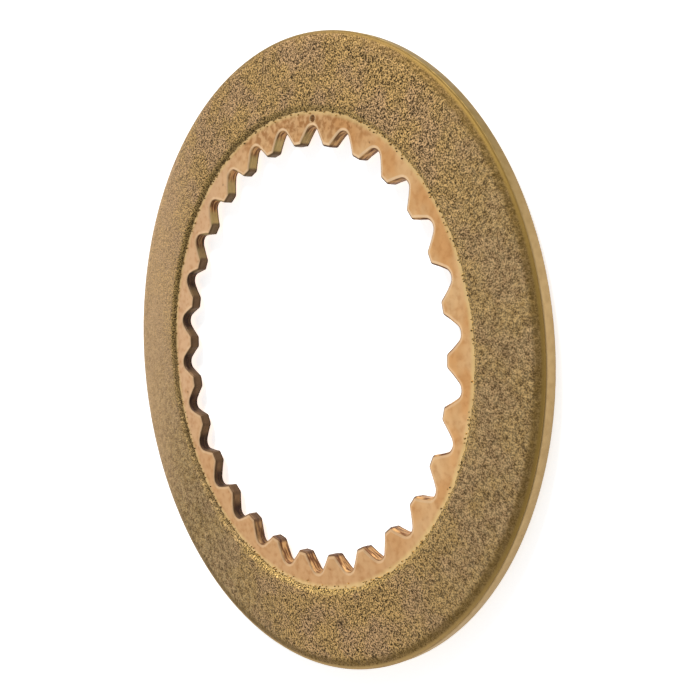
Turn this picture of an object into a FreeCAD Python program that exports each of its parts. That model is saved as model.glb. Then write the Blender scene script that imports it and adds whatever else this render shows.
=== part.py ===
import FreeCAD, Part
import math
import os

# Wet clutch friction disc: a splined steel core plate with a sintered bronze facing
# bonded on each side. Millimetres and degrees. The disc's axis is Z, the origin lies on
# the axis at mid thickness, the front is +Z and the index hole is on the +Y side.

# Internal spline of the core plate: involute flanks, rounded tooth tips, full-radius roots
tooth_count = 28
spline_module = 3.0
pressure_angle = 37.5
tooth_height = 1.55             # from the pitch circle in to the tooth tips
root_depth = 2.0                # from the pitch circle out to the roots of the spaces
tip_corner_radius = 0.8

# Core plate, blanked from steel strip
core_thickness = 2.2
tooth_edge_break = 0.35         # rolled-over edge that the punch leaves round the bore, front only
rim_edge_break = 0.2            # on both edges of the rim
rim_margin = 0.05               # bare strip between each facing and the rim's edge break

# Index hole, drilled just outside the root of one tooth space
index_hole_diameter = 1.35
index_hole_web = 0.85           # metal left between the root and the hole
index_hole_to_facing = 0.9      # bare plate between the hole and the facing
index_side = 90.0               # degrees from +X to the hole, and to the space it belongs to

# Facings, sintered from bronze powder, one on each side
facing_thickness = 0.8
facing_width = 14.85            # from foot to foot, radially
inner_slope_width = 1.4         # the feathered inner edge
shoulder_width = 2.4            # the rounded outer edge
shoulder_foot = 0.2             # height of the upright foot below the shoulder

# Circles of the spline, with every angle from here on in radians
pitch_angle = 2 * math.pi / tooth_count
index_direction = math.radians(index_side)
pitch_radius = spline_module * tooth_count / 2
base_radius = pitch_radius * math.cos(math.radians(pressure_angle))
tip_radius = pitch_radius - tooth_height
root_radius = pitch_radius + root_depth

# Radii worked outwards from the spline
index_hole_radius = root_radius + index_hole_web + index_hole_diameter / 2
facing_inner_radius = index_hole_radius + index_hole_diameter / 2 + index_hole_to_facing
facing_outer_radius = facing_inner_radius + facing_width
core_radius = facing_outer_radius + rim_margin + rim_edge_break
plate_top = core_thickness / 2


def polar(radius, angle, height):
    """The point at a radius, an angle in radians and a height."""
    return FreeCAD.Vector(radius * math.cos(angle), radius * math.sin(angle), height)


def arc(first, middle, last):
    """The edge of the circular arc through three points."""
    return Part.Arc(first, middle, last).toShape()


def line(first, last):
    return Part.LineSegment(first, last).toShape()


def involute(radius):
    """The involute function at a radius: how far the curve has turned from its start."""
    slope = math.acos(base_radius / radius)
    return math.tan(slope) - slope


def half_space(radius, growth):
    """Half the angle of a tooth space at a radius, in radians.

    A space and a tooth are equally wide on the pitch circle. Moving an involute sideways
    by a distance turns it by that distance over its base radius, which is how the space
    grows by the same amount everywhere.
    """
    at_pitch = math.pi / (2 * tooth_count)
    return at_pitch + involute(pitch_radius) - involute(radius) + growth / base_radius


def touching_point(centre_radius, reach, growth):
    """Radius and half angle where a circle of some reach touches the flank of the space.

    The flank's normal runs along a tangent of the base circle, so the reach adds to the
    distance along that tangent. A reach towards the space's middle is negative.
    """
    along_normal = math.sqrt(centre_radius ** 2 - base_radius ** 2) + reach
    radius = math.hypot(base_radius, along_normal)
    return radius, half_space(radius, growth)


def full_root_radius():
    """Radius of the one arc that closes a space between its two flanks at the root circle.

    The arc's centre lies on the space's middle line, and its distance to the flank there
    has to be the arc's own radius. Each pass works that distance out from the last radius,
    and it settles well within the passes given.
    """
    radius = 0.0
    passes = 60
    for _ in range(passes):
        radius = base_radius * half_space(root_radius - radius, 0)
    return radius


def tip_corner(growth):
    """Rounded corner of a tooth tip: radii and half angles of its start, middle and end."""
    centre_radius = tip_radius + tip_corner_radius
    centre_angle = half_space(centre_radius, tip_corner_radius)
    reach = tip_corner_radius - growth
    flank_end = touching_point(centre_radius, -reach, growth)
    centre = polar(centre_radius, centre_angle, 0)
    to_flank = (polar(*flank_end, 0) - centre).normalize()
    to_tip = polar(-1, centre_angle, 0)
    middle = centre + (to_flank + to_tip).normalize() * reach
    return (tip_radius + growth, centre_angle), (middle.Length, math.atan2(middle.y, middle.x)), flank_end


def space_outline(direction, growth, height):
    """Edges of one tooth space and the next tooth tip, grown sideways into the metal."""
    tip_start, tip_middle, flank_start = tip_corner(growth)
    root_fillet = full_root_radius()
    flank_end = touching_point(root_radius - root_fillet, root_fillet + growth, growth)
    flank_radius = (flank_start[0] + flank_end[0]) / 2
    flank_middle = (flank_radius, half_space(flank_radius, growth))
    side = [tip_start, tip_middle, flank_start, flank_middle, flank_end]
    falling = [polar(radius, direction - angle, height) for radius, angle in side]
    rising = [polar(radius, direction + angle, height) for radius, angle in reversed(side)]
    root = polar(root_radius + growth, direction, height)
    tooth_middle = polar(tip_start[0], direction + pitch_angle / 2, height)
    next_tip = polar(tip_start[0], direction + pitch_angle - tip_start[1], height)
    return [
        arc(*falling[0:3]),
        arc(*falling[2:5]),
        arc(falling[4], root, rising[0]),
        arc(*rising[0:3]),
        arc(*rising[2:5]),
        arc(rising[4], tooth_middle, next_tip),
    ]


def bore_outline(growth, height):
    """The closed outline of the splined bore at a height."""
    edges = []
    for number in range(tooth_count):
        edges += space_outline(index_direction + number * pitch_angle, growth, height)
    return Part.Wire(edges)


def splined_bore():
    """The solid that the bore removes, flared at the front face by the edge break."""
    levels = ((0.0, -plate_top), (0.0, plate_top - tooth_edge_break), (tooth_edge_break, plate_top))
    outlines = [bore_outline(growth, height) for growth, height in levels]
    return Part.makeLoft(outlines, True, True)


def core_plate():
    """Flat ring with internal spline teeth, broken edges and an index hole."""
    profile = [
        FreeCAD.Vector(0, 0, -plate_top),
        FreeCAD.Vector(core_radius - rim_edge_break, 0, -plate_top),
        FreeCAD.Vector(core_radius, 0, rim_edge_break - plate_top),
        FreeCAD.Vector(core_radius, 0, plate_top - rim_edge_break),
        FreeCAD.Vector(core_radius - rim_edge_break, 0, plate_top),
        FreeCAD.Vector(0, 0, plate_top),
    ]
    half_section = Part.Face(Part.makePolygon(profile + profile[:1]))
    disc = half_section.revolve(FreeCAD.Vector(0, 0, 0), FreeCAD.Vector(0, 0, 1), 360)
    hole_start = polar(index_hole_radius, index_direction, -core_thickness)
    index_hole = Part.makeCylinder(index_hole_diameter / 2, 2 * core_thickness, hole_start)
    return disc.cut([splined_bore(), index_hole])


def facing(side):
    """Flat ring with a slope at its inner edge and a rounded shoulder at its outer edge."""
    def at(radius, height):
        return FreeCAD.Vector(radius, 0, side * (plate_top + height))

    slope_top = facing_inner_radius + inner_slope_width
    shoulder_top = facing_outer_radius - shoulder_width
    shoulder_drop = facing_thickness - shoulder_foot
    shoulder_radius = (shoulder_width ** 2 + shoulder_drop ** 2) / (2 * shoulder_drop)
    half_turn = math.asin(shoulder_width / shoulder_radius) / 2
    shoulder_middle = at(shoulder_top + shoulder_radius * math.sin(half_turn),
                         facing_thickness - shoulder_radius * (1 - math.cos(half_turn)))
    section = Part.Wire([
        line(at(facing_inner_radius, 0), at(facing_outer_radius, 0)),
        line(at(facing_outer_radius, 0), at(facing_outer_radius, shoulder_foot)),
        arc(at(facing_outer_radius, shoulder_foot), shoulder_middle, at(shoulder_top, facing_thickness)),
        line(at(shoulder_top, facing_thickness), at(slope_top, facing_thickness)),
        line(at(slope_top, facing_thickness), at(facing_inner_radius, 0)),
    ])
    ring = Part.Face(section).revolve(FreeCAD.Vector(0, 0, 0), FreeCAD.Vector(0, 0, 1), 360)
    return ring if ring.Volume > 0 else ring.reversed()


def front_facing():
    return facing(1)


def rear_facing():
    return facing(-1)


os.makedirs("parts", exist_ok=True)
for name, build in (("core_plate", core_plate),
                    ("front_facing", front_facing),
                    ("rear_facing", rear_facing)):
    shape = build()
    print(name, len(shape.Solids), "solid, valid", shape.isValid(), "volume", round(shape.Volume, 2))
    shape.exportStep("parts/" + name + ".step")
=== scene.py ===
import math
import random

import bmesh
import bpy
from mathutils import Matrix, Vector, noise
from mathutils.bvhtree import BVHTree


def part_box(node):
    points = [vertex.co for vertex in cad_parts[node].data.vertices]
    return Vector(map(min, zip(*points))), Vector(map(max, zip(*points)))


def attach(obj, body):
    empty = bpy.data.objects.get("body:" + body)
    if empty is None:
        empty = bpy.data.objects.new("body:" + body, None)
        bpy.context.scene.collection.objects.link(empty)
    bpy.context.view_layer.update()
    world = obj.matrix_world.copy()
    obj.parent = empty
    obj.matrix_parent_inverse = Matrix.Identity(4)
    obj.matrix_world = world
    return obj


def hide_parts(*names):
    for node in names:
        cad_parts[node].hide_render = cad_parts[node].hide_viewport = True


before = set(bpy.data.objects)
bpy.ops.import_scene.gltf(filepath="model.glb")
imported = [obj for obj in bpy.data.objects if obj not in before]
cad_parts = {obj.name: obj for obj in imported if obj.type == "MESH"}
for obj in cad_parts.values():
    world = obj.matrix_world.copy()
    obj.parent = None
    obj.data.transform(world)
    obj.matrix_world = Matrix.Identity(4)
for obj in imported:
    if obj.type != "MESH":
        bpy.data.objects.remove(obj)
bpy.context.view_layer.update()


# Core plate: a flat ring of strip steel with 28 internal spline teeth, blanked in one stroke and
# then copper plated. The punch draws the front edge of every tooth into a soft roll and leaves
# the walls behind it with fine streaks along the stroke and a torn zone towards the rear.

mm = 0.001

plate_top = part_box("core_plate")[1].z
rim_radius = min(abs(side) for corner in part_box("core_plate") for side in (corner.x, corner.y))
pitch_radius = 42 * mm
bore_reach = 45 * mm               # just outside the roots of the spaces
band_radius = 48.4 * mm            # just under the facings, where the bare band of the plate ends
worn_radius = band_radius - 0.2 * mm
rear_level = -0.9 * plate_top      # lower points belong to the rear face
same_level = 0.01 * mm             # heights and radii that differ by less are the same
on_line = 0.005 * mm               # a point nearer than this to the wall or a row lies on it
corner_weld = 0.002 * mm           # the frame's triangles are loose, so corners this near are joined
outline_weld = 0.02 * mm
bend_limit = math.radians(1.5)     # corners of the outline that turn less are taken out
outline_step = 0.42 * mm           # longest edge along the teeth
spoke_length = 2.5 * mm            # longer edges cross the band
band_cuts = 19
wall_cuts = 7

edge_strip = 0.5 * mm              # strip along the front edge that gets finer rows of faces
edge_rows = 5
roll_width = 0.95 * mm             # how far from the wall the front edge starts to fall
roll_depth = 0.5 * mm
rear_burr = 0.06 * mm
rim_break = 0.2 * mm
rim_rows = 3

hole_place = Vector((0, 45.525 * mm, 0))
hole_radius = 0.675 * mm
hole_lead = 0.12 * mm              # rounded mouth of the index hole
hole_turns = (30, 60, 90)          # degrees that the mouth has turned at each row of its faces
hole_surround = 0.9 * mm           # where the mesh round the hole meets the rest of the plate
hole_border = 0.1 * mm             # open edges this near to a face belong to its hole
hole_corners = 28

streak_depth = 0.035 * mm
streaks_across = 3.2               # per mm round the teeth
streaks_along = 0.25               # per mm of the punch's stroke
torn_depth = 0.05 * mm
torn_density = 3.0                 # per mm
torn_levels = (-0.1, -0.5)         # shares of plate_top where the torn zone starts and is full
breakout = 0.03 * mm               # how far the torn zone falls back at the rear face
breakout_levels = (-0.2, -0.9)
band_wave = 0.05 * mm
wave_density = 0.55                # per mm


def verts_of(geometry):
    return [item for item in geometry if isinstance(item, bmesh.types.BMVert)]


def edges_of(geometry):
    return [item for item in geometry if isinstance(item, bmesh.types.BMEdge)]


def flat_radius(point):
    """Distance from the disc's axis."""
    return math.hypot(point.x, point.y)


def set_radius(vert, radius):
    scale = radius / flat_radius(vert.co)
    vert.co.x *= scale
    vert.co.y *= scale


def smooth_step(value, low, high):
    """0 below low, 1 above high and an even rise between them; low may be the larger one."""
    share = min(max((value - low) / (high - low), 0.0), 1.0)
    return share * share * (3 - 2 * share)


def finish_mesh(mesh, name, material, smooth_below=40):
    """Makes the object of a bmesh, smooth apart from edges sharper than an angle in degrees."""
    data = bpy.data.meshes.new(name)
    mesh.to_mesh(data)
    mesh.free()
    piece = bpy.data.objects.new(name, data)
    bpy.context.scene.collection.objects.link(piece)
    data.materials.append(material)
    data.shade_smooth()
    data.set_sharp_from_angle(angle=math.radians(smooth_below))
    return piece


def bore_outline():
    """The closed outline of the teeth, where a level plane cuts the plate of the frame."""
    mesh = bmesh.new()
    mesh.from_mesh(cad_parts["core_plate"].data)
    bmesh.ops.remove_doubles(mesh, verts=mesh.verts, dist=corner_weld)
    everything = [*mesh.verts, *mesh.edges, *mesh.faces]
    bmesh.ops.bisect_plane(mesh, geom=everything, plane_co=(0, 0, 0), plane_no=(0, 0, 1),
                           clear_inner=True, clear_outer=True)
    others = [v for v in mesh.verts
              if flat_radius(v.co) > band_radius or (v.co - hole_place).length < 2 * hole_radius]
    bmesh.ops.delete(mesh, geom=others, context="VERTS")
    bmesh.ops.remove_doubles(mesh, verts=mesh.verts, dist=outline_weld)
    bmesh.ops.dissolve_limit(mesh, angle_limit=bend_limit, verts=mesh.verts, edges=mesh.edges)
    for edge in [e for e in mesh.edges if e.calc_length() > outline_step]:
        pieces = math.ceil(edge.calc_length() / outline_step)
        bmesh.ops.subdivide_edges(mesh, edges=[edge], cuts=pieces - 1)
    return mesh


def edges_between(mesh, height, low, high):
    """The edges whose two ends lie at a height and between two radii."""
    return [e for e in mesh.edges
            if all(abs(v.co.z - height) < same_level and low < flat_radius(v.co) < high for v in e.verts)]


def round_edges(mesh, edges, width, segments):
    bmesh.ops.bevel(mesh, geom=edges, offset=width, offset_type="OFFSET", segments=segments, profile=0.5,
                    affect="EDGES", material=-1, clamp_overlap=True)


def bore_wall(mesh):
    """The upright faces round the bore, to measure distances from."""
    mesh.verts.index_update()
    mesh.normal_update()
    upright = [f for f in mesh.faces
               if abs(f.normal.z) < 0.5 and flat_radius(f.calc_center_median()) < bore_reach]
    corners = [v.co.copy() for v in mesh.verts]
    return BVHTree.FromPolygons(corners, [[v.index for v in f.verts] for f in upright])


def roll_front_edge(mesh, wall):
    """Draws the front edge of the teeth down, as the punch does. Each point stores its distance from
    the wall, which the colours read; off the wall, points of the rear face store one without colour."""
    layer = mesh.verts.layers.float.new("from_wall")
    rows_foot = plate_top - edge_strip
    for vert in mesh.verts:
        distance = wall.find_nearest(Vector((vert.co.x, vert.co.y, 0)))[3]
        on_wall = distance < on_line
        vert[layer] = distance if vert.co.z > rear_level or on_wall else roll_width
        if on_wall and vert.co.z < rows_foot + on_line:
            share = (vert.co.z + plate_top) / (rows_foot + plate_top)
            vert.co.z = share * (2 * plate_top - roll_depth) - plate_top
        elif vert.co.z > rows_foot - on_line and distance < roll_width:
            rest = 1 - distance / roll_width
            vert.co.z = plate_top - roll_depth * (1 - math.sqrt(1 - rest * rest))


def drill_index_hole(mesh):
    """Opens the small hole through both faces, with a rounded mouth at the front."""
    rings = []
    for height, radius in ((plate_top, hole_radius + hole_lead), (-plate_top, hole_radius)):
        centre = Vector((hole_place.x, hole_place.y, height))
        covered = [f for f in mesh.faces if (f.calc_center_median() - centre).length < hole_surround]
        bmesh.ops.delete(mesh, geom=covered, context="FACES")
        around = [e for e in mesh.edges
                  if e.is_boundary and abs(e.verts[0].co.z - height) < hole_border]
        circle = bmesh.ops.create_circle(mesh, segments=hole_corners, radius=radius,
                                         matrix=Matrix.Translation(centre))
        ring = list(dict.fromkeys(e for v in circle["verts"] for e in v.link_edges))
        bmesh.ops.triangle_fill(mesh, edges=[*around, *ring], use_beauty=True)
        rings.append(ring)
    border = rings[0]
    for turn in hole_turns:
        grown = bmesh.ops.extrude_edge_only(mesh, edges=border)["geom"]
        reach = hole_radius + hole_lead * (1 - math.sin(math.radians(turn)))
        depth = hole_lead * (1 - math.cos(math.radians(turn)))
        for vert in verts_of(grown):
            outwards = (vert.co - hole_place).to_2d().normalized() * reach
            vert.co = hole_place + Vector((outwards.x, outwards.y, plate_top - depth))
        border = edges_of(grown)
    bmesh.ops.bridge_loops(mesh, edges=[*border, *rings[1]])


def blanked_ring():
    """The plate as a closed solid with its edges rolled, and enough points to carry the wear."""
    mesh = bore_outline()
    bmesh.ops.translate(mesh, verts=mesh.verts, vec=(0, 0, plate_top))
    border = mesh.edges[:]
    for radius in (band_radius, rim_radius):
        grown = bmesh.ops.extrude_edge_only(mesh, edges=border)["geom"]
        for vert in verts_of(grown):
            set_radius(vert, radius)
        border = edges_of(grown)
    bmesh.ops.recalc_face_normals(mesh, faces=mesh.faces)
    if mesh.faces[0].normal.z < 0:
        bmesh.ops.reverse_faces(mesh, faces=mesh.faces)
    sides = bmesh.ops.extrude_face_region(mesh, geom=mesh.faces[:], use_keep_orig=True)["geom"]
    bmesh.ops.translate(mesh, verts=verts_of(sides), vec=(0, 0, -2 * plate_top))
    bmesh.ops.recalc_face_normals(mesh, faces=mesh.faces)
    wall = bore_wall(mesh)
    round_edges(mesh, edges_between(mesh, plate_top, 0, bore_reach), edge_strip, edge_rows)
    round_edges(mesh, edges_between(mesh, -plate_top, 0, bore_reach), rear_burr, 1)
    for height in (plate_top, -plate_top):
        rim = edges_between(mesh, height, rim_radius - same_level, rim_radius + mm)
        round_edges(mesh, rim, rim_break, rim_rows)
    spokes = [e for e in mesh.edges
              if abs(flat_radius(e.verts[0].co) - flat_radius(e.verts[1].co)) > spoke_length
              and max(flat_radius(v.co) for v in e.verts) < band_radius + same_level]
    bmesh.ops.subdivide_edges(mesh, edges=spokes, cuts=band_cuts, use_grid_fill=True)
    uprights = [e for e in mesh.edges
                if abs(e.verts[0].co.z - e.verts[1].co.z) > plate_top
                and flat_radius(e.verts[0].co) < bore_reach]
    bmesh.ops.subdivide_edges(mesh, edges=uprights, cuts=wall_cuts, use_grid_fill=True)
    roll_front_edge(mesh, wall)
    drill_index_hole(mesh)
    bmesh.ops.recalc_face_normals(mesh, faces=mesh.faces)
    return mesh


def wear_plate(mesh):
    """Streaks and a torn zone on the sheared walls, and the slight unevenness of rolled strip."""
    mesh.normal_update()
    moves = []
    for vert in mesh.verts:
        place = vert.co / mm
        level = vert.co.z / plate_top
        radius = flat_radius(vert.co)
        if radius > worn_radius:
            continue
        across = 1 - abs(vert.normal.z)
        along = math.atan2(place.y, place.x) * pitch_radius / mm
        streak_place = (along * streaks_across, place.z * streaks_along, radius / mm * streaks_across)
        streak = noise.noise(Vector(streak_place))
        torn = smooth_step(level, *torn_levels) * noise.noise(place * torn_density)
        fall = breakout * smooth_step(level, *breakout_levels)
        inwards = across * (streak_depth * streak + torn_depth * torn - fall)
        wave_place = (place.x * wave_density, place.y * wave_density, place.z)
        wave = band_wave * noise.noise(Vector(wave_place))
        move = vert.normal * inwards
        move.z = (1 - across) * (wave - band_wave) * (1 if vert.normal.z > 0 else -1)
        moves.append((vert, move))
    for vert, move in moves:
        vert.co += move


def colour(code):
    """The linear colour of an sRGB hex code."""
    parts = [int(code[i:i + 2], 16) / 255 for i in (1, 3, 5)]
    return [p / 12.92 if p <= 0.04045 else ((p + 0.055) / 1.055) ** 2.4 for p in parts] + [1.0]


def new_material(name):
    """A material with its node tree and its shader."""
    material = bpy.data.materials.new(name)
    material.use_nodes = True
    return material, material.node_tree, material.node_tree.nodes["Principled BSDF"]


def add_node(tree, kind, inputs=None, **settings):
    """Adds a node with its settings; each input is a value or a socket to link to it."""
    node = tree.nodes.new("ShaderNode" + kind)
    for name, value in settings.items():
        setattr(node, name, value)
    for name, value in (inputs or {}).items():
        if isinstance(value, bpy.types.NodeSocket):
            tree.links.new(value, node.inputs[name])
        else:
            node.inputs[name].default_value = value
    return node


def eased_shares(tree, place, rows):
    """Shares by name. Each eases from its first value to its last while its reading goes from low to
    high. A direction in place of a reading is how far the place lies from the disc's axis that way."""
    shares = {}
    for name, reading, low, high, first, last in rows:
        if isinstance(reading, tuple):
            that_way = add_node(tree, "VectorMath", {0: place, 1: reading}, operation="DOT_PRODUCT")
            reading = that_way.outputs["Value"]
        eased = add_node(tree, "MapRange", {0: reading, 1: low, 2: high, 3: first, 4: last},
                         interpolation_type="SMOOTHSTEP")
        shares[name] = eased.outputs[0]
    return shares


def painted(tree, ground, coats):
    """The colour of a ground under its coats, each laid on in turn as far as its share says."""
    for share, coat in coats:
        ground = add_node(tree, "Mix", {0: share, 6: ground, 7: coat}, data_type="RGBA").outputs[2]
    return ground


def copper_plate():
    """Copper flash on blanked steel, satin: warm tan metal in soft brown and rosy patches, with painted
    shade that makes it duller towards the bottom of the picture and a painted sheen that makes it paler
    towards its left, pale on the rolled edges as burnish and a painted highlight, yellow next to the
    facing, and stained and duller on the sheared walls, which also carry painted light and shade."""
    material, tree, shader = new_material("copper_plated_steel_satin")
    place = add_node(tree, "TexCoord").outputs["Object"]
    axes = add_node(tree, "SeparateXYZ", {0: place}).outputs
    flat = add_node(tree, "CombineXYZ", {0: axes[0], 1: axes[1]}).outputs[0]
    radius = add_node(tree, "VectorMath", {0: flat}, operation="LENGTH").outputs["Value"]
    hole = add_node(tree, "VectorMath", {0: flat, 1: hole_place}, operation="DISTANCE").outputs["Value"]
    wall = add_node(tree, "Attribute", attribute_name="from_wall").outputs["Fac"]
    stretch = (0.14, 0.14, 1)       # stains on the wall are seven times as long as they are high
    layers = add_node(tree, "VectorMath", {0: place, 1: stretch}, operation="MULTIPLY").outputs[0]
    pattern = {}
    for name, over, size, detail in (("patches", place, 7 * mm, 3), ("smears", place, 1.3 * mm, 4),
                                     ("grit", place, 0.8 * mm, 3), ("stains", layers, 0.4 * mm, 2)):
        spots = add_node(tree, "TexNoise", {"Vector": over, "Scale": 1 / size, "Detail": detail})
        pattern[name] = spots.outputs[0]
    smears = pattern["smears"]
    pits = add_node(tree, "TexVoronoi", {"Vector": place, "Scale": 1 / (2.6 * mm)}).outputs[0]
    share = eased_shares(tree, place, (
        ("patches", pattern["patches"], 0.36, 0.64, 0, 1),
        # painted shade: duller, less orange copper towards the bottom of the picture
        ("lower_side", (-0.3, -0.95, 0), -10 * mm, 35 * mm, 0, 0.8),
        # painted sheen: paler copper towards the left of the picture
        ("pale_side", (-1, 0.2, 0), 22 * mm, 42 * mm, 0, 0.75),
        ("smears", smears, 0.45, 0.75, 0, 0.35),
        ("brown_side", (-0.1, 1, 0), 38 * mm, 44 * mm, 0, 1),
        ("brown_smears", smears, 0.4, 0.6, 0.15, 0.75),
        ("bloom", radius, 45.9 * mm, 46.9 * mm, 0, 0.8),
        ("rim", radius, 60 * mm, 61 * mm, 0, 1),
        # painted shade: the plate's rim darker towards the top of the picture
        ("upper_side", (0, 1, 0), 15 * mm, 50 * mm, 0, 1),
        ("hole_rim", hole, hole_radius + 0.45 * mm, hole_radius + 0.2 * mm, 0, 0.7),
        ("pits", pits, 0.14, 0.04, 0, 1),
        ("pitted_smears", smears, 0.52, 0.6, 0, 1),
        ("in_bore", radius, 50 * mm, 48 * mm, 0, 1),
        # painted highlight: the pale coat on the rolled front edge is burnish, brightened as a painted
        # highlight towards the top of the picture
        ("roll", wall, roll_width, 0.7 * roll_width, 0, 1),
        ("painted_highlight_side", (0.3, 0.95, 0), 15 * mm, 40 * mm, 0.55, 0.95),
        ("wall", wall, 0.45 * roll_width, 0.25 * roll_width, 0, 1),
        ("stains", pattern["stains"], 0.38, 0.62, 0, 1),
        # painted light: flank walls olive-yellow towards the tips, on the upper left of the picture
        ("olive_side", (-0.75, 0.66, 0), 18 * mm, 36 * mm, 0, 0.85),
        ("flank", radius, 43.6 * mm, 42.4 * mm, 0, 1),
        # painted shade: tip walls darker
        ("tip", radius, 41.2 * mm, 40.7 * mm, 0, 0.8),
        # painted shade: walls on the left and lower left of the picture darker, darkest in the roots
        ("dark_side", (-0.9, -0.43, 0), 18 * mm, 36 * mm, 0, 0.9),
        ("off_root", radius, 43.2 * mm, 41.8 * mm, 0, 1),
        # the torn zone, darkened towards the rear face as painted shade of the rear edge
        ("torn", axes[2], -0.5 * plate_top, -0.95 * plate_top, 0, 0.85),
        # painted light: the inside of the index hole lighter, as if its far wall were lit
        ("in_hole", hole, hole_radius + 0.1 * mm, hole_radius + 0.03 * mm, 0, 1),
        ("satin", smears, 0.3, 0.75, 0.3, 0.48),
    ))
    share["grit"] = pattern["grit"]
    for name, operation, first, second in (
            ("brown", "MULTIPLY", "brown_side", "brown_smears"),
            ("pits", "MULTIPLY", "pits", "pitted_smears"),
            ("pit_stain", "MULTIPLY", "pits", 0.6),
            ("pit_depth", "MULTIPLY", "pits", 2.0),
            # the rolled edge's pale coat: burnish and a painted highlight
            ("pale_coat", "MULTIPLY", "roll", "in_bore"),
            ("pale_coat", "MULTIPLY", "pale_coat", "painted_highlight_side"),
            ("wall", "MULTIPLY", "wall", "in_bore"),
            ("olive", "MULTIPLY", "olive_side", "flank"),
            ("oxide", "MULTIPLY", "wall", 0.35),
            ("metallic", "SUBTRACT", 1.0, "oxide"),
            ("matt", "MAXIMUM", "rim", "wall"),
            ("matt", "MULTIPLY", "matt", 0.2),
            ("roughness", "ADD", "satin", "matt"),
            ("dents", "SUBTRACT", "grit", "pit_depth")):
        terms = {0: share.get(first, first), 1: share.get(second, second)}
        share[name] = add_node(tree, "Math", terms, operation=operation).outputs[0]
    # the plate's rim colour, darker towards the top as painted shade
    rim = painted(tree, colour("#B69A6C"), [(share["upper_side"], colour("#8C7444"))])
    # wall colour in the roots, darkest there as painted shade
    root = painted(tree, colour("#2C1A12"), [(share["off_root"], colour("#644A30"))])
    sheared = painted(tree, colour("#6E4424"), (
        (share["stains"], colour("#D0A068")),
        # painted light on the upper-left flanks
        (share["olive"], colour("#C0A66C")),
        # painted shade on the tip walls
        (share["tip"], colour("#4E3226")),
        # painted shade on the left-hand walls
        (share["dark_side"], root),
        # painted shade towards the rear face, over the torn zone
        (share["torn"], colour("#2C1C14")),
        # painted light inside the index hole
        (share["in_hole"], colour("#C4A478")),
    ))
    plated = painted(tree, colour("#DFA76C"), (
        (share["patches"], colour("#E9BC86")),
        # painted shade towards the bottom of the picture
        (share["lower_side"], colour("#CEA070")),
        # painted sheen towards the left of the picture
        (share["pale_side"], colour("#E0B68C")),
        (share["smears"], colour("#B8793F")),
        (share["brown"], colour("#A8713E")),
        (share["bloom"], colour("#ECCB8C")),
        (share["rim"], rim),
        (share["hole_rim"], colour("#E4C088")),
        (share["pit_stain"], colour("#6E4A26")),
        # pale coat on the rolled edges: burnish and a painted highlight
        (share["pale_coat"], colour("#F0CCA0")),
        (share["wall"], sheared),
    ))
    tree.links.new(plated, shader.inputs["Base Color"])
    tree.links.new(share["metallic"], shader.inputs["Metallic"])
    tree.links.new(share["roughness"], shader.inputs["Roughness"])
    bump = add_node(tree, "Bump", {"Height": share["dents"], "Distance": 0.03 * mm, "Strength": 0.6})
    tree.links.new(bump.outputs[0], shader.inputs["Normal"])
    return material


plate_mesh = blanked_ring()
wear_plate(plate_mesh)
core = finish_mesh(plate_mesh, "plated_core", copper_plate())
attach(core, "root")
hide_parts("core_plate")


# Facings: rings of bronze powder spread on the plate, sintered to it and pressed to thickness.
# The open grain shows all over the flat and the feathered inner slope. The outer edge is pressed
# smooth, and the inner border is ragged where single grains have stuck to the copper.

facing_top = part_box("front_facing")[1].z
facing_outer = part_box("front_facing")[1].x
facing_inner = 47.1 * mm
slope_width = 1.4 * mm
shoulder_width = 2.4 * mm
shoulder_foot = 0.2 * mm
smooth_rim = 0.5 * mm             # outermost part of the shoulder, pressed smooth by the die
ring_step = 0.24 * mm             # longest edge of the mesh, about half a grain
ring_weld = 0.01 * mm
wedge_count = 46                  # the ring is this many copies of one wedge

grain_size = 0.46 * mm
grain_depth = 0.1 * mm
grain_bulge = 1.5                 # over 1, a grain is flatter on top and steeper at its sides
grain_loss = 0.9                  # share of the grain that the smooth rim has lost
grain_foot = 0.02 * mm            # points lower than this lie on the plate
grain_rise = 0.12 * mm            # height above the plate over which the grain comes in
pore_depth = 0.16 * mm
pore_limits = (0.72, 0.85)        # a grain whose chance is over the second is missing, as a pore
pore_filling = 0.6                # share by which a pore is shallower at its sides
clump_density = 0.45              # clumps of pores per grain
clump_weight = 0.35
cell_step = 7.3                   # spreads neighbouring grains over cells with chances of their own

border_waves = ((0.16 * mm, 2.2 * mm), (0.2 * mm, 0.55 * mm))     # depth and length of each
stray_count = 400
stray_line = facing_inner + 0.15 * mm
stray_spread = 0.4 * mm
stray_sizes = (0.1 * mm, 0.2 * mm)
stray_rise = 0.25                 # middle of a stray grain above the plate, in shares of its size


def facing_profile(mesh):
    """The outline of the section as a chain of short edges, with a rounded slope at the inner foot."""
    drop = facing_top - plate_top - shoulder_foot
    arc_radius = (shoulder_width ** 2 + drop ** 2) / (2 * drop)
    arc_turn = math.asin(shoulder_width / arc_radius)
    foot = mesh.verts.new((facing_inner, 0, plate_top))
    slope_end = mesh.verts.new((facing_inner + slope_width, 0, facing_top))
    arc_start = mesh.verts.new((facing_outer - shoulder_width, 0, facing_top))
    runs = [mesh.edges.new((foot, slope_end)), mesh.edges.new((slope_end, arc_start))]
    centre = arc_start.co - Vector((0, 0, arc_radius))
    steps = math.ceil(arc_turn * arc_radius / ring_step)
    arc = bmesh.ops.spin(mesh, geom=[arc_start], cent=centre, axis=(0, 1, 0), angle=arc_turn, steps=steps)
    arc_end = verts_of(arc["geom_last"])[0]
    outer_foot = mesh.verts.new((facing_outer, 0, plate_top))
    mesh.edges.new((arc_end, outer_foot))
    mesh.edges.new((outer_foot, foot))
    for edge in runs:
        pieces = math.ceil(edge.calc_length() / ring_step)
        bmesh.ops.subdivide_edges(mesh, edges=[edge], cuts=pieces - 1)
    for vert in mesh.verts:
        share = (vert.co.x - facing_inner) / slope_width
        if 0 < share < 1 and vert.co.z > plate_top:
            vert.co.z = plate_top + (facing_top - plate_top) * math.sin(share * math.pi / 2)


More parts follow.
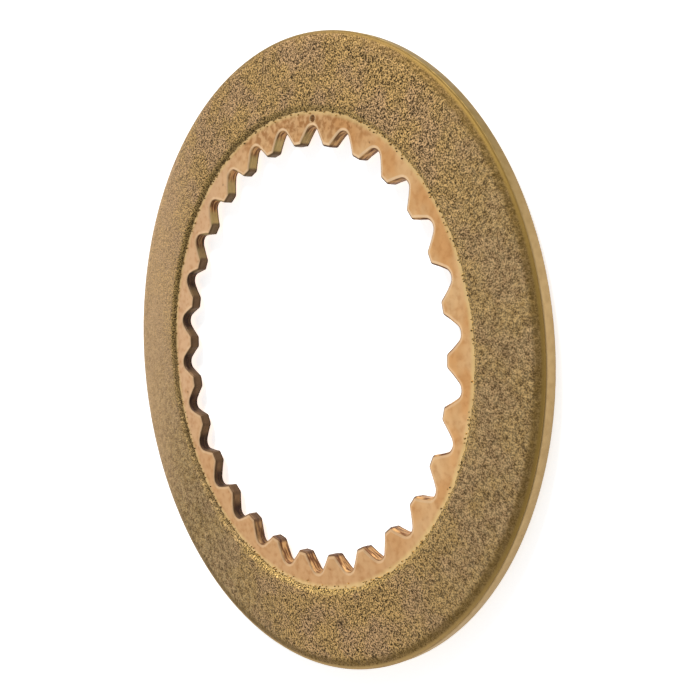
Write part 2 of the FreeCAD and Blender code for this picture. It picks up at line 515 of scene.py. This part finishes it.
def grainy(mesh, seed):
    """Sinks the surface between the powder grains and stores how deep each point lies."""
    depth_layer = mesh.verts.layers.float.new("pore")
    deepest = 0.8 * (grain_depth + pore_depth)
    mesh.normal_update()
    moves = []
    for vert in mesh.verts:
        radius = flat_radius(vert.co)
        height = vert.co.z - plate_top
        if height < grain_foot and radius > facing_inner + slope_width:
            continue
        place = vert.co / grain_size + Vector((0, 0, seed))
        near, points = noise.voronoi(place)
        dome = min(near[0], 1.0)
        chance = noise.cell(points[0] * cell_step) * 0.5 + 0.5
        clump = noise.noise(place * clump_density)
        pore = smooth_step(chance + clump_weight * clump, *pore_limits)
        smeared = smooth_step(radius, facing_outer - 2 * smooth_rim, facing_outer - smooth_rim)
        sunk = grain_depth * dome ** grain_bulge + pore_depth * pore * (1 - pore_filling * dome)
        depth = sunk * (1 - grain_loss * smeared)
        # the stored depth darkens the colour, as painted shade in the hollows
        vert[depth_layer] = min(depth / deepest, 1.0)
        moves.append((vert, -vert.normal * depth * smooth_step(height, 0.0, grain_rise)))
    for vert, move in moves:
        vert.co += move


def ragged_border(mesh, seed):
    """Lets the inner foot wander, as loose powder does at the edge of its bed."""
    for vert in mesh.verts:
        radius = flat_radius(vert.co)
        share = smooth_step(radius, facing_inner + slope_width, facing_inner)
        if share > 0:
            place = Vector((vert.co.x, vert.co.y, seed))
            wander = sum(depth * noise.noise(place / length) for depth, length in border_waves)
            set_radius(vert, radius + share * wander)


def stray_grains(seed):
    """Single grains fused to the copper just inside the border."""
    mesh = bmesh.new()
    chance = random.Random(seed)
    for _ in range(stray_count):
        angle = chance.uniform(0, 2 * math.pi)
        radius = stray_line - abs(chance.gauss(0, stray_spread))
        size = chance.uniform(*stray_sizes)
        middle = (radius * math.cos(angle), radius * math.sin(angle), plate_top + stray_rise * size)
        turn = Matrix.Rotation(chance.uniform(0, 6), 4, (chance.random(), chance.random(), 1))
        bmesh.ops.create_icosphere(mesh, subdivisions=1, radius=size,
                                   matrix=Matrix.Translation(middle) @ turn)
    data = bpy.data.meshes.new("stray_grains")
    mesh.to_mesh(data)
    mesh.free()
    return data


def facing_ring(name, material, seed, rear):
    """One facing as a closed ring, made for the front and mirrored if it is the rear one."""
    mesh = bmesh.new()
    facing_profile(mesh)
    wedge = 2 * math.pi / wedge_count
    steps = round(wedge * (facing_inner + facing_outer) / 2 / ring_step)
    bmesh.ops.spin(mesh, geom=[*mesh.verts, *mesh.edges], cent=(0, 0, 0), axis=(0, 0, 1), angle=wedge,
                   steps=steps)
    bmesh.ops.spin(mesh, geom=[*mesh.verts, *mesh.edges, *mesh.faces], cent=(0, 0, 0), axis=(0, 0, 1),
                   angle=2 * math.pi - wedge, steps=wedge_count - 1, use_duplicate=True)
    bmesh.ops.remove_doubles(mesh, verts=mesh.verts, dist=ring_weld)
    bmesh.ops.recalc_face_normals(mesh, faces=mesh.faces)
    grainy(mesh, seed)
    ragged_border(mesh, seed)
    mesh.from_mesh(stray_grains(seed))
    if rear:
        bmesh.ops.scale(mesh, verts=mesh.verts, vec=(1, 1, -1))
        bmesh.ops.reverse_faces(mesh, faces=mesh.faces)
    return finish_mesh(mesh, name, material, smooth_below=75)


def sintered_bronze():
    """Sintered bronze, as pressed: matt open grain, each grain pale gold on top and dark brown in the gaps,
    with painted shade deeper in the pores, a little yellower on both sloping borders and pressed smooth
    along the outer edge. Painted shade darkens the inner foot, the shoulder on the lower right and at the
    top, and the slope's gold at the lower left; painted light pales the smooth edge at the bottom, and a
    painted sheen pales the flat on the left."""
    material, tree, shader = new_material("sintered_bronze_open_grain")
    place = add_node(tree, "TexCoord").outputs["Object"]
    axes = add_node(tree, "SeparateXYZ", {0: place}).outputs
    flat = add_node(tree, "CombineXYZ", {0: axes[0], 1: axes[1]}).outputs[0]
    radius = add_node(tree, "VectorMath", {0: flat}, operation="LENGTH").outputs["Value"]
    pore = add_node(tree, "Attribute", attribute_name="pore").outputs["Fac"]
    pattern = {}
    for name, size, detail, roughness in (("grains", 0.6 * grain_size, 2, 0.6), ("mottle", 6 * mm, 4, 0.5),
                                          ("clusters", 1.1 * mm, 3, 0.5)):
        spots = add_node(tree, "TexNoise", {"Vector": place, "Scale": 1 / size, "Detail": detail,
                                            "Roughness": roughness})
        pattern[name] = spots.outputs[0]
    slope_end = facing_inner + slope_width
    shoulder_start = facing_outer - shoulder_width
    share = eased_shares(tree, place, (
        ("lit", pattern["grains"], 0.38, 0.62, 0, 1),
        ("mottle", pattern["mottle"], 0.4, 0.62, 0, 1),
        ("clusters", pattern["clusters"], 0.38, 0.62, 0, 1),
        ("right_side", (1, 0, 0), 25 * mm, 55 * mm, 0, 0.5),
        ("low_left", (-0.75, -0.66, 0), 30 * mm, 52 * mm, 0, 0.6),
        ("slope", radius, slope_end, facing_inner + 0.4 * slope_width, 0, 1),
        ("foot", radius, facing_inner + 0.7 * slope_width, facing_inner + 0.2 * slope_width, 0, 1),
        ("shaded_side", (-1, 0.3, 0), 0, 40 * mm, 0, 0.45),
        ("shoulder", radius, shoulder_start, shoulder_start + 0.5 * shoulder_width, 0, 0.7),
        # painted shade: the shoulder darker on the lower right of the picture
        ("lower_right_side", (0.86, -0.5, 0), -30 * mm, 15 * mm, 0, 1),
        # painted shade: the shoulder and its smooth edge darker towards the top of the picture
        ("high_side", (0, 1, 0), 38 * mm, 60 * mm, 0, 0.4),
        # painted light: the smooth edge paler towards the bottom of the picture
        ("low_side", (0, -1, 0), 15 * mm, 55 * mm, 0, 1),
        ("smooth", radius, facing_outer - 1.4 * smooth_rim, facing_outer - 0.5 * smooth_rim, 0, 0.85),
        # pores darker the deeper they lie, as painted shade
        ("pore", pore, 0.4, 0.95, 0, 0.35),
        # painted sheen: the flat paler and smoother towards the left of the picture
        ("sheen_side", (-1, 0, 0), 34 * mm, 58 * mm, 0, 0.62),
    ))
    for name, operation, first, second in (
            ("pale_coat", "MAXIMUM", "right_side", "low_left"),
            # painted shade: the slope's gold held back at the lower left of the picture, where the key light
            # falls on it
            ("gold_less_low_left", "SUBTRACT", 0.75, "low_left"),
            ("golden", "MULTIPLY", "slope", "gold_less_low_left"),
            ("shaded_side", "MAXIMUM", "shaded_side", "low_left"),
            ("shaded", "MULTIPLY", "foot", "shaded_side"),
            ("shaded_shoulder", "MULTIPLY", "shoulder", "lower_right_side"),
            ("high_shoulder", "MULTIPLY", "shoulder", "high_side"),
            ("flat", "SUBTRACT", 1.0, "slope"),
            # painted sheen on the flat, not on the slope
            ("sheen", "MULTIPLY", "sheen_side", "flat"),
            ("grain_height", "SUBTRACT", 0.8, "smooth")):
        terms = {0: share.get(first, first), 1: share.get(second, second)}
        share[name] = add_node(tree, "Math", terms, operation=operation).outputs[0]
    gaps = painted(tree, colour("#32220A"), [(share["mottle"], colour("#32230F"))])
    grain_tops = painted(tree, colour("#E8C07C"), [(share["mottle"], colour("#E4BC88"))])
    filled = painted(tree, colour("#7E6642"), [(share["clusters"], colour("#BAA072"))])
    gold = painted(tree, colour("#3A2C0E"), [(share["lit"], colour("#E2C078"))])
    # smooth edge colour: paler towards the bottom as painted light, darker at the top as painted shade
    pressed = painted(tree, colour("#9C7E40"), [(share["low_side"], colour("#C6A468")),
                                                (share["high_side"], colour("#5A4420"))])
    bronze = painted(tree, gaps, (
        (share["lit"], grain_tops),
        (share["pale_coat"], filled),
        # slope gold, less at the lower left as painted shade
        (share["golden"], gold),
        (share["shaded"], colour("#3E2C0E")),
        # painted shade on the lower-right shoulder
        (share["shaded_shoulder"], colour("#725824")),
        # painted shade on the shoulder at the top
        (share["high_shoulder"], colour("#86662E")),
        (share["smooth"], pressed),
        # painted shade in the pores
        (share["pore"], colour("#443216")),
        # painted sheen on the left
        (share["sheen"], colour("#D6B388")),
    ))
    tree.links.new(bronze, shader.inputs["Base Color"])
    shader.inputs["Metallic"].default_value = 0.85
    shader.inputs["Roughness"].default_value = 0.6
    bump = add_node(tree, "Bump", {"Height": pattern["grains"], "Distance": 0.12 * mm,
                                   "Strength": share["grain_height"]})
    tree.links.new(bump.outputs[0], shader.inputs["Normal"])
    return material


bronze = sintered_bronze()
for name, node, seed, rear in (("bronze_front", "front_facing", 3, False),
                               ("bronze_rear", "rear_facing", 11, True)):
    facing = facing_ring(name, bronze, seed, rear)
    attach(facing, "root")
    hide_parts(node)


# Studio: a matt white table that the disc lies on, a white surround that is darker overhead, a
# soft key light from the top of the picture and a faint fill light from its lower left.

floor_half = 3.0
table_glow = 0.7                  # lifts the table to plain white, for the camera and in reflections
mirrored_strength = 0.85          # of the surround, in reflections
ambient_strength = 0.45           # of the surround, as light on the disc


def white_table():
    """Matt white card: no sheen, plain white to the eye apart from the disc's own soft shadow."""
    material, tree, shader = new_material("white_table_matt")
    shader.inputs["Base Color"].default_value = colour("#F3F3F3")
    shader.inputs["Roughness"].default_value = 1.0
    shader.inputs["Specular IOR Level"].default_value = 0.0
    rays = add_node(tree, "LightPath").outputs
    shown = add_node(tree, "Math", {0: rays["Is Camera Ray"], 1: rays["Is Glossy Ray"]}, operation="MAXIMUM")
    glow = add_node(tree, "Math", {0: shown.outputs[0], 1: table_glow}, operation="MULTIPLY")
    lift = add_node(tree, "Emission", {"Color": colour("#FFFFFF"), "Strength": glow.outputs[0]})
    both = add_node(tree, "AddShader", {0: shader.outputs[0], 1: lift.outputs[0]})
    tree.links.new(both.outputs[0], tree.nodes["Material Output"].inputs["Surface"])
    return material


floor_mesh = bmesh.new()
bmesh.ops.create_grid(floor_mesh, x_segments=1, y_segments=1, size=floor_half,
                      matrix=Matrix.Translation((0, 0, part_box("rear_facing")[0].z)))
floor = finish_mesh(floor_mesh, "table", white_table())

surround = bpy.data.worlds.new("surround")
surround.use_nodes = True
bpy.context.scene.world = surround
sky = surround.node_tree
rays = add_node(sky, "LightPath").outputs
shown = add_node(sky, "Math", {0: rays["Is Camera Ray"], 1: rays["Is Transmission Ray"]}, operation="MAXIMUM")
mirrored = add_node(sky, "Math", {0: rays["Is Glossy Ray"], 1: mirrored_strength}, operation="MULTIPLY")
visible = add_node(sky, "Math", {0: shown.outputs[0], 1: mirrored.outputs[0]}, operation="MAXIMUM")
strength = add_node(sky, "Math", {0: visible.outputs[0], 1: ambient_strength}, operation="MAXIMUM")
direction = add_node(sky, "TexCoord").outputs["Generated"]
upwards = add_node(sky, "SeparateXYZ", {0: direction}).outputs[2]
overhead = eased_shares(sky, direction, [("overhead", upwards, 0.6, 1, 0, 1)])["overhead"]
shade = painted(sky, colour("#FFFFFF"), [(overhead, colour("#959595"))])
sky.links.new(shade, sky.nodes["Background"].inputs["Color"])
sky.links.new(strength.outputs[0], sky.nodes["Background"].inputs["Strength"])

for name, energy, spread, lamp_side in (("key", 2.5, 20, (-0.3, 0.8, 0.5)),
                                        ("fill", 0.15, 60, (-0.55, -0.45, 0.7))):
    light = bpy.data.lights.new(name, "SUN")
    light.energy = energy
    light.angle = math.radians(spread)
    lamp = bpy.data.objects.new(name, light)
    lamp.rotation_euler = Vector(lamp_side).to_track_quat("Z", "Y").to_euler()
    bpy.context.scene.collection.objects.link(lamp)


# Camera: above one side of the disc and turned on its side, so that the disc, which lies flat
# here, stands in the picture as it does in the photograph.

camera_place = Vector((159.8, 32.65, 126.65)) * mm
camera_aim = Vector((13.71, 8.46, 0)) * mm
camera_roll = math.radians(92.6)
lens_length = 52.98
crop_shift = (-0.0007, -0.0469)   # the photograph is cropped a little off its centre
sensor_width = 36.0

lens = bpy.data.cameras.new("camera")
lens.lens = lens_length
lens.sensor_width = sensor_width
lens.shift_x, lens.shift_y = crop_shift
camera = bpy.data.objects.new("camera", lens)
sight = (camera_aim - camera_place).to_track_quat("-Z", "Y").to_matrix().to_4x4()
camera.matrix_world = Matrix.Translation(camera_place) @ sight @ Matrix.Rotation(-camera_roll, 4, "Z")
bpy.context.scene.collection.objects.link(camera)
bpy.context.scene.camera = camera
bpy.context.scene.view_settings.view_transform = "Standard"
